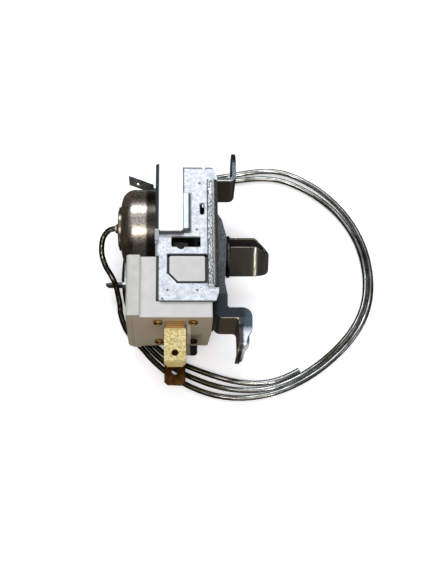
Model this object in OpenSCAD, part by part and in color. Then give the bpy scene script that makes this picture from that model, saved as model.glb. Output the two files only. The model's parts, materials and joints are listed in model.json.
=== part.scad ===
// Refrigerator thermostat: a galvanised frame with a gas-filled power element behind it,
// a snap switch below it, and a drawn front plate with two mounting ears and a folded shaft.
// It lies on its side. +X runs out along the shaft, +Y towards the screw ear, +Z up.
// The origin is on the shaft axis, in the plane of the front plate's flat face.

/* [Frame] */
// Sheet thickness of the galvanised frame
frame_t = 0.9; // [0.7:0.05:0.9]
// Half of the frame's width across its two side walls
frame_half_w = 13.3; // [13.3:0.05:13.5]
// Depth of the frame from the front plate's face to its back wall
frame_depth = 18.5; // [18.3:0.1:19]
// Height of the top edge above the shaft axis
frame_top = 23.7; // [23.6:0.1:25]
// Depth of the side walls' lower edge below the shaft axis
frame_bottom = 19.6; // [18:0.1:21]

/* [Front plate] */
// Sheet thickness of the front plate
plate_t = 1.2; // [1:0.05:1.3]
// Width of the mounting ears
ear_w = 14.5; // [14:0.1:15.5]
// How far the strip's turned-up sides stand in front of the flat plate
side_rise = 2.8; // [2.6:0.1:3]
// Tip of the screw ear above the shaft axis
ear_top = 34.8; // [34:0.1:36]
// Tip of the tongue ear below the shaft axis
tongue_tip = 33.6; // [33:0.1:34.5]
// Diameter of the screw hole in the upper ear
ear_hole_d = 4.4; // [3.6:0.1:4.8]

/* [Shaft] */
// Width of the folded strip that takes the knob
leaf_w = 9.7; // [9:0.1:10]
// Distance between the outer faces of the strip's two leaves
leaf_span = 8.2; // [7.6:0.1:8.6]
// Reach of the folded strip in front of the plate's flat face
shaft_reach = 16.0; // [14:0.1:20]
// Turn of the shaft from upright, as it was last set
shaft_set = 45; // [0:5:90]
// Diameter of the bearing journal
journal_d = 9.0; // [8.8:0.1:9.2]

/* [Power element] */
// Outer diameter of the cup
cup_d = 24; // [23:0.1:24.4]
// Depth of the cup behind the frame
cup_depth = 10.6; // [10:0.1:12]
// Height of the cup's axis above the shaft axis
cup_y = 9.35; // [9:0.05:9.5]
// Outer diameter of the capillary
capillary_d = 1.7; // [1.5:0.1:1.7]
// Radius of the capillary's outermost turn, along its centreline
loop_r = 40.3; // [40.1:0.1:42]

/* [Switch] */
// Half of the switch housing's width
housing_half_w = 12.4; // [12.3:0.05:12.4]
// Half of the rear cover's width over its two side lips
cover_half_w = 14.05; // [13.8:0.05:14.1]
// Level of the housing's lower face, below the shaft axis
housing_bottom = 24.3; // [24.3:0.1:25.5]
// Width of the push-on terminal blades
blade_w = 6.35; // [6:0.05:6.5]
// Thickness of the push-on terminal blades
blade_t = 0.8; // [0.7:0.05:0.9]
// Distance of each blade from the middle plane
blade_z = 8.85; // [8:0.05:9.2]

/* [Hidden] */
$fn = 48;

eps = 0.01;
arc_steps = 6;

// Levels that several pieces share
wall_in = frame_half_w - frame_t;
wrap_t = 1.0;
rest_z = -(frame_half_w + wrap_t);
back_x = -frame_depth;
back_in = back_x + frame_t;
ear_half = ear_w / 2;
hub_gap = 0.05;

// Screw hole of the upper ear
ear_hole_y = ear_top - ear_half;

// Wrap flanges of the front plate over the frame's side walls
wrap_low = -15.1;
wrap_high = 19.3;
wrap_back = -3.2;

// Hook of the moulded cover
hook_low = -0.9;
hook_high = 2.6;

// Pivots of the two levers, both parallel to Z
lever_pivot = [-11, -2.2];
follower_pivot = [-13, 20];
lever_pin_r = 1.2;
follower_pin_r = 1.0;
pivot_gap = 0.05;

// Range spring line, parallel to X
range_y = 14.5;

// Cam
cam_r = 8;
cam_front = -1.6;
cam_disc_t = 0.8;
cam_low = 0.2;
cam_rise = 1.8;
cam_travel = 300;
ramp_in = 4.9;

// Switch housing
housing_top = -5.4;
housing_front = -1.85;
housing_back = -25.1;
cover_back = -26.8;
housing_wall = 1.6;
housing_side_wall = 2.4;
terminal_x = -12.65;
blade_level = -12;
contact_x = -5.5;
push_x = -8.4;

// Capillary loop. The thermostat lies on it: two of its turns pass under the rear cover's corner
loop_z = -15.05;
loop_centre = [9.8, -0.5];
loop_pitch = 1.75;
loop_start = 197;
loop_end = 1017;
loop_steps = 70;
step_from = 141;
step_over = 36;
// Dents of the loop: angle of the deepest point, reach before it, reach after it, depth
shared_dents = [[308, 58, 45, 2.2], [100, 34, 35, 3.5]];
// The inner turns hang a little loose here, and more so with each turn
inner_dents = [[70, 55, 40, 1.3], [250, 36, 38, 1.2]];
// Bulge where the lead joins the outermost turn
lead_bulge = [204, 24, 14, 1.3];
// Route of the capillary from the ferrule down to the loop
lead_route = [
    [-31, 9.35, 0], [-31.7, 9.35, 0], [-33.5, 8.7, -0.6], [-35, 6.6, -2], [-35.3, 3, -4],
    [-34.2, -0.5, -5.6],
    [-32.4, -3.4, -6.6], [-31.1, -5.8, -8.0], [-30.4, -8.1, -11.3], [-29.9, -10.4, -14.1]
];

// Path helpers: a path is a list of corners [x, y, radius]

function unit(v) = v / norm(v);
function flat(p) = [p[0], p[1]];
function turn_between(p, q) = atan2(p[0] * q[1] - p[1] * q[0], p * q);
function reversed(list) = [for (i = [len(list) - 1 : -1 : 0]) list[i]];

function corner_arc(a, b, c, r) =
    let (
        u = unit(a - b), v = unit(c - b),
        half = acos(u * v) / 2,
        centre = b + unit(u + v) * r / sin(half),
        first = b + u * r / tan(half) - centre,
        last = b + v * r / tan(half) - centre,
        start = atan2(first[1], first[0]),
        turn = turn_between(first, last)
    )
    [for (i = [0 : arc_steps])
        centre + r * [cos(start + turn * i / arc_steps), sin(start + turn * i / arc_steps)]];

function rounded(path) = [
    for (i = [0 : len(path) - 1])
        each (path[i][2] == 0)
            ? [flat(path[i])]
            : corner_arc(flat(path[(i + len(path) - 1) % len(path)]), flat(path[i]),
                flat(path[(i + 1) % len(path)]), path[i][2])
];

// Points of a line set off to its left by the distance d
function beside(line, d) = [
    for (i = [0 : len(line) - 1])
        let (
            before = i > 0 ? unit(line[i] - line[i - 1]) : unit(line[1] - line[0]),
            after = i < len(line) - 1 ? unit(line[i + 1] - line[i]) : before,
            along = unit(before + after)
        )
        line[i] + d * [-along[1], along[0]] / (along * before)
];

module rounded_outline(path) {
    polygon(rounded(path));
}

// Bent sheet metal: a line of corners given a thickness, centred on the line
module bent_sheet(path, t) {
    line = rounded(path);
    polygon(concat(beside(line, t / 2), reversed(beside(line, -t / 2))));
}

module across(w) {
    linear_extrude(height = w, center = true) children();
}

// A sheet lying in an XY plane, from z up to z + t
module layer(z, t) {
    translate([0, 0, z]) linear_extrude(height = t) children();
}

// A plate square to X, drawn in Y and Z, from x up to x + t
module facing(x, t) {
    translate([x, 0, 0]) rotate([90, 0, 90]) linear_extrude(height = t) children();
}

// Turns a shape that is drawn up the Z axis so that it points forwards along +X
module forwards(x, y = 0, z = 0) {
    translate([x, y, z]) rotate([0, 90, 0]) children();
}

// The same, pointing backwards along -X
module backwards(x, y = 0, z = 0) {
    translate([x, y, z]) rotate([0, -90, 0]) children();
}

// The same, pointing down along -Y
module downwards(x, y, z = 0) {
    translate([x, y, z]) rotate([90, 0, 0]) children();
}

// Rounded rectangle with true arcs, from a corner to the opposite corner
module soft_rect(low, high, r) {
    translate([low[0] + r, low[1]]) square([high[0] - low[0] - 2 * r, high[1] - low[1]]);
    translate([low[0], low[1] + r]) square([high[0] - low[0], high[1] - low[1] - 2 * r]);
    for (x = [low[0] + r, high[0] - r], y = [low[1] + r, high[1] - r])
        translate([x, y]) circle(r);
}

// Main frame

module side_wall_outline() {
    difference() {
        rounded_outline([
            [-17.35, -frame_bottom, 0.8], [-0.9, -frame_bottom, 0.8], [0, -16.6, 1],
            [0, wrap_low - 0.2, 0],
            [-plate_t, wrap_low - 0.2, 0], [-plate_t, wrap_high + 0.2, 0], [0, wrap_high + 0.2, 0],
            [-0.2, 20.6, 0.6], [-1.4, frame_top, 1], [-17.4, frame_top, 0.6]
        ]);
        v_notch();
        side_wall_cutouts();
    }
}

module v_notch() {
    polygon([[-4.6, frame_top + eps], [-4.1, 22.3], [-3.6, frame_top + eps]]);
}

module side_wall_cutouts() {
    soft_rect([-5.35, 7.9], [-4.05, 11.7], 0.6);
    soft_rect([-13.75, -2.6], [-5.25, 0.7], 0.5);
    translate(lever_pivot) circle(lever_pin_r);
    translate(follower_pivot) circle(follower_pin_r);
    rounded_outline([
        [-14.95, -4.9, 0.5], [-3.25, -4.9, 0.5], [-3.25, -14, 0.5], [-12.2, -14, 0.5],
        [-14.95, -11, 0.5]
    ]);
}

// Locating lug that the far wall sends down past the housing
module far_lug() {
    rounded_outline([[-8.4, -19, 0], [-8.4, -27.3, 0.8], [-5.8, -27.3, 1], [-5.8, -19, 0]]);
}

module back_wall_section() {
    bent_sheet([
        [-16.8, frame_half_w - frame_t / 2, 0], [back_x + frame_t / 2, frame_half_w - frame_t / 2, 0.8],
        [back_x + frame_t / 2, -(frame_half_w - frame_t / 2), 0.8],
        [-16.8, -(frame_half_w - frame_t / 2), 0]
    ], frame_t);
}

// Wraps a section drawn in X and Z into a wall from y = low to y = high
module wall_along_y(low, high) {
    translate([0, high, 0]) rotate([90, 0, 0]) linear_extrude(height = high - low) children();
}

module back_wall() {
    difference() {
        wall_along_y(housing_top + 0.1, frame_top + 1.2) back_wall_section();
        backwards(-16, cup_y) cylinder(r = 8.2, h = 5);
        hook_notch();
        translate([-17.5, frame_top, wall_in - 3]) cube([2, 3, 5]);
    }
}

// Notch in the near corner for the moulded cover's hook
module hook_notch() {
    translate([-19, hook_low, 11.6]) cube([19 - 17.4, hook_high - hook_low, 3]);
}

module top_wall() {
    wall_along_y(frame_top - frame_t, frame_top)
        translate([back_in - eps, -wall_in]) square([13.4, 2 * wall_in]);
}

module main_frame() {
    color([0.84, 0.87, 0.91]) union() {
        layer(wall_in, frame_t) side_wall_outline();
        layer(-frame_half_w, frame_t) {
            side_wall_outline();
            far_lug();
        }
        back_wall();
        top_wall();
    }
}

// Front plate

// Centreline of the strip below the plate: down, out along the shelf and down the tongue
tongue_line = [
    [-plate_t / 2, wrap_low + 1, 0], [-plate_t / 2, -21.9, 1.8], [6.45, -21.9, 1.8],
    [6.45, -31, 4], [5.5, -tongue_tip, 0]
];
// Free edge of the strip's turned-up sides, from the plate down to where they fade out
side_edge = [
    [-plate_t / 2, 11.2, 0], [0.2, 11.2, 0], [1.45, 9.2, 3], [side_rise, 3.4, 5], [2.1, -11.5, 6],
    [side_rise, -15.2, 2], [2.75, -19.2, 0.8], [9.95, -19.15, 2.9], [9.85, -26.3, 2],
    [8.45, -28, 1.5], [7.7, -31, 2], [6.6, -32.4, 0], [6.3, -31, 0]
];
// Where the turned-up sides meet the strip
side_root = [
    [6.45, -21.9, 1.8], [-plate_t / 2, -21.9, 1.8], [-plate_t / 2, 11.2, 0]
];

module side_outline() {
    rounded_outline(concat(side_edge, side_root));
}

module flat_plate() {
    facing(-plate_t, plate_t) {
        translate([wrap_low, -wall_in]) square([wrap_high + 1 - wrap_low, 2 * wall_in]);
        translate([wrap_high, -ear_half]) square([22 - wrap_high, ear_w]);
    }
}

// Section with the bend's round outer side
module wrap_flange(side) {
    wall_along_y(wrap_low, wrap_high) mirror([0, side > 0 ? 0 : 1]) rounded_outline([
        [wrap_back, frame_half_w, 0], [-plate_t, frame_half_w, 0], [-plate_t, wall_in, 0],
        [0, wall_in, 0], [0, frame_half_w + wrap_t, 1.5], [wrap_back, frame_half_w + wrap_t, 0.3]
    ]);
}

module upper_ear() {
    difference() {
        across(ear_w) bent_sheet([
            [-plate_t / 2, wrap_high, 0], [-plate_t / 2, 22.95, 1.2], [5.55, 22.95, 1.4],
            [5.55, ear_top, 0]
        ], plate_t);
        translate([5.55, ear_hole_y, 0]) ear_corner_cut();
        forwards(4, ear_hole_y) cylinder(d = ear_hole_d, h = 4);
    }
}

// What is trimmed from a square ear to leave its half-round end
module ear_corner_cut() {
    facing(-2, 4) difference() {
        translate([0, -ear_half - 1]) square([ear_half + 1, ear_w + 2]);
        circle(ear_half);
    }
}

// What is trimmed from the tongue to leave its half-oval end
module tongue_end_cut() {
    length = 4.2;
    start = length - tongue_tip;
    facing(3, 6) polygon(concat(
        [[start, ear_half + 1], [start, ear_half]],
        [for (a = [75 : -15 : -75]) [start - length * cos(a), ear_half * sin(a)]],
        [[start, -ear_half], [start, -ear_half - 1], [-tongue_tip - 1, -ear_half - 1],
            [-tongue_tip - 1, ear_half + 1]]
    ));
}

module lower_strip() {
    difference() {
        union() {
            across(ear_w) bent_sheet(tongue_line, plate_t);
            for (z = [-ear_half, ear_half - plate_t]) layer(z, plate_t) side_outline();
        }
        tongue_end_cut();
    }
}

// Tab that the cam's lug meets at either end of the shaft's turn
module stop_tab() {
    translate([-2.5, -8.9, -2]) cube([2.5 - plate_t + 0.1, 0.7, 4]);
}

module front_plate() {
    color([0.20, 0.19, 0.18]) difference() {
        union() {
            flat_plate();
            for (side = [-1, 1]) wrap_flange(side);
            upper_ear();
            lower_strip();
            stop_tab();
        }
        forwards(-3) cylinder(d = journal_d + 2 * hub_gap, h = 3.5);
        forwards(-3, range_y) cylinder(r = 2.4, h = 4);
    }
}

// Shaft

collar_x = side_rise + 0.1;
collar_t = 1.05;
boss_x = 0.42;

// Journal in the plate, boss between the turned-up sides and collar in front of them
module shaft_hub() {
    color([0.30, 0.29, 0.27]) {
        forwards(collar_x) cylinder(r = 6.4, h = collar_t);
        forwards(boss_x) cylinder(r = 5.8, h = collar_x - boss_x + eps);
        forwards(cam_front) cylinder(d = journal_d, h = boss_x - cam_front + eps);
    }
}

// Folded strip: two leaves joined by a round fold whose corners are cut back
module control_shaft() {
    color([0.26, 0.25, 0.23]) rotate([-shaft_set, 0, 0]) difference() {
        across(leaf_w) hairpin_outline(collar_x + collar_t, leaf_span / 2, 0.9);
        for (side = [-1, 1]) rotate([90, 0, 0]) across(leaf_span + 4) nose_cut(side);
    }
}

module hairpin_outline(base, outer, t) {
    centre = shaft_reach - outer;
    difference() {
        union() {
            translate([base, -outer]) square([centre - base, 2 * outer]);
            translate([centre, 0]) circle(outer);
        }
        translate([base - 1, t - outer]) square([centre - base + 1, 2 * (outer - t)]);
        translate([centre, 0]) circle(outer - t);
    }
}

// What is cut from one corner of the fold, seen square to the leaves
module nose_cut(side) {
    half = leaf_w / 2;
    polygon([
        [shaft_reach - 4.6, side * (half + 1)], [shaft_reach - 4.6, side * half],
        [shaft_reach - 1.6, side * (half - 1.3)], [shaft_reach + 0.1, side * (half - 2.8)],
        [shaft_reach + 1, side * (half - 2.8)], [shaft_reach + 1, side * (half + 1)]
    ]);
}

module shaft_ring() {
    color([0.45, 0.45, 0.44]) forwards(0.02) difference() {
        cylinder(r = 5.6, h = boss_x - 0.02);
        translate([0, 0, -1]) cylinder(d = journal_d, h = 3);
    }
}

// Cam: a disc with a lug that meets the plate's stop, and a ramp on its rear face
module cam() {
    color([0.80, 0.78, 0.70]) {
        backwards(cam_front) cylinder(r = cam_r, h = cam_disc_t);
        translate([cam_front - cam_disc_t, cam_r - 0.6, -2]) cube([cam_disc_t, 1.5, 4]);
        cam_ramp();
    }
}

ramp_steps = 40;

function ramp_point(i, r, level) =
    let (a = -cam_travel / 2 + cam_travel * i / ramp_steps)
    [cam_front - cam_disc_t - level, r * cos(a), -r * sin(a)];

function ramp_level(i) = cam_low + cam_rise * i / ramp_steps;

// The ramp rises backwards at a constant rate as the shaft turns
module cam_ramp() {
    points = [
        for (i = [0 : ramp_steps]) each [
            ramp_point(i, ramp_in, -0.1), ramp_point(i, cam_r - 0.2, -0.1),
            ramp_point(i, cam_r - 0.2, ramp_level(i)), ramp_point(i, ramp_in, ramp_level(i))
        ]
    ];
    last = 4 * ramp_steps;
    faces = concat(
        [[0, 1, 2, 3]],
        [for (i = [0 : ramp_steps - 1], k = [0 : 3])
            [4 * i + k, 4 * i + 4 + k, 4 * i + 4 + (k + 1) % 4, 4 * i + (k + 1) % 4]],
        [[last + 3, last + 2, last + 1, last]]
    );
    polyhedron(points, [for (face = faces) reversed(face)], convexity = 4);
}

module cam_rivet() {
    color([0.62, 0.61, 0.58]) backwards(cam_front - cam_disc_t) cylinder(r1 = 1.9, r2 = 1.2, h = 0.8);
}

// Power element

module power_cup() {
    wall = 0.7;
    outer = [[cup_d / 2, 0, 0], [cup_d / 2, 6.6, 4.2],
        [9.2, 9.8, 2.2], [7.2, cup_depth, 0.5], [1.3, cup_depth, 0]];
    inner = [[1.3, cup_depth - wall, 0], [7.0, cup_depth - wall, 0.5], [8.8, 9.2, 1.5],
        [cup_d / 2 - wall, 6.3, 3.5], [cup_d / 2 - wall, 0, 0]];
    color([0.62, 0.58, 0.52]) backwards(back_x, cup_y) rotate_extrude()
        polygon(concat(rounded(outer), rounded(inner)));
}

module cup_cap() {
    color([0.45, 0.42, 0.37]) backwards(back_x - cup_depth, cup_y) difference() {
        union() {
            cylinder(r = 6.7, h = 0.6);
            cylinder(r1 = 6.1, r2 = 5.7, h = 0.9);
        }
        translate([0, 0, -1]) cylinder(r = 1.3, h = 3);
    }
}

module ferrule() {
    tail = 31 - frame_depth;
    color([0.70, 0.68, 0.64]) backwards(back_x - cup_depth + 1, cup_y) difference() {
        union() {
            cylinder(r = 1.3, h = tail - cup_depth + 1);
            translate([0, 0, 1.9]) cylinder(r1 = 2.0, r2 = 1.4, h = 0.6);
        }
        translate([0, 0, -1]) cylinder(r = 0.55, h = 6);
    }
}

// Corrugated disc that the gas bends towards the lever
module diaphragm() {
    rings = 14;
    rim = cup_d / 2 - 0.7;
    function wave(r) = 0.9 + 0.35 * cos(r * 100);
    top = [for (i = [0 : rings]) let (r = rim * i / rings) [r, wave(r) + 0.15]];
    base = [for (i = [0 : rings]) let (r = rim * i / rings) [r, wave(r) - 0.15]];
    color([0.70, 0.66, 0.55]) backwards(back_x, cup_y) rotate_extrude()
        polygon(concat(top, reversed(base)));
}

// Capillary

function loop_angle(i) = loop_start + (loop_end - loop_start) * i / loop_steps;
function wrapped(a) = a - 360 * floor(a / 360);
function eased(s) = let (c = max(0, min(1, s))) c * c * (3 - 2 * c);
// Turns completed, with each step inwards made between two angles of the loop
function turns_in(a) = let (s = a - step_from) floor(s / 360) - 1 + eased(wrapped(s) / step_over);
// Depth of a dent or bulge at the angle a: full at its middle, fading out over its reach
function dent(a, d) =
    let (off = wrapped(a - d[0] + 180) - 180, reach = off < 0 ? d[1] : d[2])
    abs(off) < reach ? d[3] * pow(cos(90 * off / reach), 2) : 0;
function dents(a, list) = let (depths = [for (d = list) dent(a, d)]) depths * [for (d = list) 1];
function loop_radius(a) = loop_r - loop_pitch * turns_in(a) - dents(a, shared_dents)
    - turns_in(a) * dents(a, inner_dents) + (a < 360 ? dent(a, lead_bulge) : 0);
function loop_point(a) = [
    loop_centre[0] + loop_radius(a) * cos(a), loop_centre[1] + loop_radius(a) * sin(a), loop_z
];

capillary_sides = 8;

// Ring of points around a route, square to it
function ring_at(route, i) =
    let (
        before = route[max(0, i - 1)], after = route[min(len(route) - 1, i + 1)],
        along = unit(after - before),
        side = unit(cross(along, [0, 0, 1])),
        up = cross(side, along)
    )
    [for (k = [0 : capillary_sides - 1])
        let (a = 360 * (k + 0.5) / capillary_sides)
        route[i] + capillary_d / 2 * (side * cos(a) + up * sin(a))];

function tube_faces(rings, sides) = concat(
    [[for (k = [0 : sides - 1]) k]],
    [for (i = [0 : rings - 2], k = [0 : sides - 1])
        [i * sides + k, (i + 1) * sides + k, (i + 1) * sides + (k + 1) % sides,
            i * sides + (k + 1) % sides]],
    [[for (k = [sides - 1 : -1 : 0]) (rings - 1) * sides + k]]
);

module capillary_tube() {
    route = concat(lead_route, [for (i = [0 : loop_steps]) loop_point(loop_angle(i))]);
    points = [for (i = [0 : len(route) - 1]) each ring_at(route, i)];
    color([0.72, 0.72, 0.70])
        polyhedron(points, tube_faces(len(route), capillary_sides), convexity = 10);
}

// Sheet hook on top of the switch housing that keeps the capillary off the cup
module capillary_clip() {
    t = 0.8;
    color([0.34, 0.33, 0.30]) {
        wall_along_y(housing_top, housing_top + t) polygon([
            [-24.5, -12.2], [-24.5, -9.2], [-31.5, -9.2], [-34.2, -10.2], [-33.4, -12.2]
        ]);
        facing(-28.4, t) polygon([
            [housing_top + t / 2, -12.2], [housing_top + t / 2, -9.2], [2.9, -9.9], [2.9, -11.5]
        ]);
    }
}

module ground_tab() {
    color([0.50, 0.54, 0.55]) difference() {
        across(6.3) bent_sheet([
            [back_x - 0.4, 21.9, 0], [back_x - 0.4, 23.4, 0.7], [-27, 26.6, 0]
        ], 0.8);
        translate([-23.8, 24, -0.5]) rotate([90, 0, 20]) cylinder(r = 0.75, h = 8, center = true);
        translate([-27.4, 22, -3.3]) rotate([-90, 0, 0]) linear_extrude(height = 6)
            polygon([[-0.2, -0.2], [2.4, -0.2], [-0.2, 1.6]]);
    }
}

// Levers

module pressure_pad() {
    color([0.86, 0.84, 0.76]) {
        forwards(-18.85, cup_y) cylinder(r = 3.6, h = 1.2);
        forwards(-17.8, cup_y) cylinder(r = 1.6, h = 2.8);
        forwards(-15.01, cup_y) cylinder(r1 = 1.6, r2 = 0.5, h = 0.66);
    }
}

lever_arm_x = -13.7;
lever_level = -1.0;

// Range lever: upright arm in front of the diaphragm, foot over the switch, two pivot lugs
module main_lever() {
    t = 1.2;
    color([0.74, 0.76, 0.78]) difference() {
        union() {
            across(12) bent_sheet([
                [lever_arm_x, 18.2, 0], [lever_arm_x, lever_level, 1.2], [-7.2, lever_level, 0]
            ], t);
            for (z = [-11.4, 10.4]) layer(z, 1.0) lever_lug();
            for (z = [-8.5, 8.5]) translate([-11.8, lever_level, z]) cube([2.6, t, 6.2], center = true);
        }
        translate([lever_pivot[0], lever_pivot[1], -15]) cylinder(r = lever_pin_r + pivot_gap, h = 30);
        forwards(-16, range_y) cylinder(r = 2.0, h = 4);
    }
}

module lever_lug() {
    translate(lever_pivot) circle(2.1);
    translate([-13.1, lever_pivot[1]]) square([4.2, 1.8]);
}

module lever_pin() {
    color([0.55, 0.55, 0.54]) translate([lever_pivot[0], lever_pivot[1], -12.9])
        cylinder(r = lever_pin_r, h = 25.8);
}

follower_arm_x = -5.0;

// Follower: hangs from its pin, reaches forwards and down behind the cam
module cam_follower() {
    t = 1.2;
    color([0.70, 0.72, 0.74]) difference() {
        union() {
            across(8) bent_sheet([
                [-15, 21.5, 0], [follower_arm_x, 21.5, 1.3], [follower_arm_x, 3.2, 0]
            ], t);
            translate([-13, 21.5, 0]) cube([4, t, 18.8], center = true);
            for (z = [-9.4, 8.4]) layer(z, 1.0) follower_lug();
            translate([follower_arm_x + 0.35, 6.5, -1.5]) cylinder(r = 1.0, h = 3);
        }
        translate([follower_pivot[0], follower_pivot[1], -15])
            cylinder(r = follower_pin_r + pivot_gap, h = 30);
        forwards(-8, range_y) cylinder(r = 1.25, h = 6);
    }
}

module follower_lug() {
    translate(follower_pivot) circle(1.9);
    translate([-14.9, follower_pivot[1]]) square([3.8, 1.5]);
}

module follower_pin() {
    color([0.55, 0.55, 0.54]) translate([follower_pivot[0], follower_pivot[1], -frame_half_w])
        cylinder(r = follower_pin_r, h = 2 * frame_half_w);
}

module range_screw() {
    color([0.78, 0.70, 0.42]) difference() {
        union() {
            forwards(follower_arm_x + 0.6, range_y) cylinder(r = 2.1, h = 1.3);
            backwards(follower_arm_x + 0.6 + eps, range_y) cylinder(r = 1.25, h = 6.6);
        }
        translate([follower_arm_x + 1.3, range_y - 0.3, -3]) cube([2, 0.6, 6]);
    }
}

range_seat = -7.6;

module range_nut() {
    color([0.78, 0.70, 0.42]) difference() {
        union() {
            backwards(-6.4, range_y) cylinder(r = 3.3, h = 1.2);
            backwards(range_seat, range_y) cylinder(r = 2.1, h = 1.2);
        }
        backwards(-5, range_y) cylinder(r = 1.25, h = 6);
    }
}

// Compression spring between the nut and the main lever
module range_spring() {
    wire = 0.4;
    mean = 2.6;
    turns = 4;
    per_turn = 14;
    sides = 6;
    rings = turns * per_turn;
    first = range_seat - wire;
    pitch = (first - (lever_arm_x + 0.6 + wire)) / turns;
    points = [
        for (i = [0 : rings], k = [0 : sides - 1])
            let (a = 360 * i / per_turn, b = 360 * k / sides, r = mean + wire * cos(b))
            [first - pitch * i / per_turn + wire * sin(b), range_y + r * cos(a), r * sin(a)]
    ];
    color([0.60, 0.61, 0.62]) polyhedron(points, [
        for (face = tube_faces(rings + 1, sides)) reversed(face)
    ], convexity = 8);
}

// White moulded cover on the near wall, with a hook round the frame's back edge
module spring_cover() {
    color([0.97, 0.97, 0.96]) {
        layer(frame_half_w, 2.0) soft_rect([-17.5, 1.8], [-10.4, 24.0], 0.7);
        translate([-18.6, hook_low, 11.6]) cube([18.6 - 17.4, hook_high - hook_low, 2.9]);
    }
}

module cover_clip() {
    color([0.86, 0.90, 0.94]) layer(frame_half_w, 1.3)
        rounded_outline([[-10.35, 2.4, 0], [-8.3, 2.4, 0.7], [-8.3, 14.7, 0.9], [-10.35, 14.7, 0]]);
}

// Switch

lip_end = -22.8;

// Plan of the housing in X and Z, narrower towards the far front corner
module housing_plan() {
    rounded_outline([
        [housing_back, -housing_half_w, 0], [-2.65, -housing_half_w, 0.9], [housing_front, -1, 0],
        [housing_front, housing_half_w, 0.7], [housing_back, housing_half_w, 0]
    ]);
}

module switch_base() {
    color([0.85, 0.84, 0.82]) difference() {
        union() {
            wall_along_y(-housing_bottom, housing_top) housing_plan();
            for (z = [-frame_half_w + 0.1, housing_half_w - eps]) window_pad(z);
            barrier_rib();
        }
        upper_cavity();
        lower_cavity();
        cam_pocket();
        push_bore();
        for (z = [-blade_z, blade_z]) terminal_slot(z);
    }
}

// Pad that fills the frame's window and locates the housing
module window_pad(z) {
    layer(z, frame_half_w - 0.1 - housing_half_w + eps) rounded_outline([
        [-14.3, -5.5, 0.5], [-4.0, -5.5, 0.5], [-4.0, -13.4, 0.5], [-11.9, -13.4, 0.5],
        [-14.3, -10.8, 0.5]
    ]);
}

// Stepped rib beside the terminals, clear of the near eyelets
module barrier_rib() {
    translate([-9.3, 0, 0]) rotate([0, 90, 0]) linear_extrude(height = 1.2) polygon([
        [-7.6, -23.8], [-7.6, -25.6], [-7.0, -27.3], [4.0, -27.3], [4.0, -29.6], [6.0, -29.6],
        [6.4, -23.8]
    ]);
}

cavity_half = housing_half_w - housing_side_wall;

module upper_cavity() {
    translate([-26, -12, -cavity_half])
        cube([26 - 10, 12 + housing_top - housing_wall, 2 * cavity_half]);
}

module lower_cavity() {
    floor_y = -housing_bottom + housing_wall;
    translate([-26, floor_y, -cavity_half])
        cube([26 + housing_front - housing_wall, -10.9 - floor_y, 2 * cavity_half]);
}

// Room for the cam and its stop lug
module cam_pocket() {
    translate([-5, -9.4, -10]) cube([6, 9, 20]);
}

module push_bore() {
    downwards(push_x, -3) cylinder(r = 1.15, h = 9);
}

module terminal_slot(z) {
    translate([terminal_x - 2.6, -26, z - blade_t / 2]) cube([5.2, 6, blade_t]);
}

// Plate behind the housing, with a lip over each of its sides and well rounded far corner
module switch_cover() {
    color([0.79, 0.80, 0.76]) wall_along_y(-housing_bottom, housing_top) difference() {
        rounded_outline([
            [lip_end, cover_half_w, 0.4], [cover_back, cover_half_w, 1.0],
            [cover_back, -cover_half_w, 3.0], [lip_end, -cover_half_w, 0.4]
        ]);
        translate([housing_back, -housing_half_w]) square([10, 2 * housing_half_w]);
    }
}

// Push-on blade with a narrow neck, shoulders, cut corners and a detent hole
module blade_outline() {
    half = blade_w / 2;
    difference() {
        translate([terminal_x, 0]) rounded_outline([
            [-2.55, -21, 0], [-2.55, -25.8, 0], [-half, -26.6, 0.3], [-half, -37.1, 0],
            [-half + 1, -38, 0.3], [half - 1, -38, 0.3], [half, -37.1, 0], [half, -26.6, 0.3],
            [2.55, -25.8, 0], [2.55, -21, 0]
        ]);
        translate([terminal_x, -33.8]) circle(0.95);
    }
}

// Near terminal: its root turns inwards and carries the contact blade
module terminal_near() {
    color([0.86, 0.76, 0.45]) {
        layer(blade_z - blade_t / 2, blade_t) {
            blade_outline();
            translate([-19, -21.6]) square([terminal_x + 2.55 + 19, 21.6 - 12.8]);
        }
        wall_along_y(blade_level - 0.8, blade_level)
            translate([-19, -3]) square([4.6, blade_z + 3 + blade_t / 2]);
    }
}

// Far terminal: its root runs forwards and carries the fixed contact
module terminal_far() {
    foot = -14.8;
    color([0.86, 0.76, 0.45]) {
        layer(-blade_z - blade_t / 2, blade_t) {
            blade_outline();
            translate([terminal_x - 2.55, -21.6]) square([9.8, 21.6 + foot]);
        }
        wall_along_y(foot, foot + 0.8)
            translate([-8.0, -blade_z - blade_t / 2]) square([4.2, blade_z + 2.6 + blade_t / 2]);
    }
}

// Rolled ends of the brass parts, set in the housing's lower face
module terminal_eyelets() {
    color([0.84, 0.72, 0.42])
        for (spot = [[-17.6, 9.2], [-7.4, 9.2], [-17.4, -7.5], [-7.2, -7.5]])
            downwards(spot[0], -housing_bottom, spot[1]) difference() {
                cylinder(r = 1.35, h = 0.8);
                translate([0, 0, -1]) cylinder(r = 0.75, h = 3);
            }
}

module contact_blade() {
    color([0.80, 0.66, 0.45]) wall_along_y(blade_level, blade_level + 0.3) difference() {
        translate([-19, -2.6]) square([15.2, 5.2]);
        translate([-13.6, -1.2]) square([3.2, 2.4]);
    }
}

module moving_contact() {
    color([0.82, 0.82, 0.80]) downwards(contact_x, blade_level) cylinder(r = 1.5, h = 0.8);
}

module fixed_contact() {
    color([0.82, 0.82, 0.80]) downwards(contact_x, -13.2) cylinder(r = 1.5, h = 0.8);
}

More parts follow.
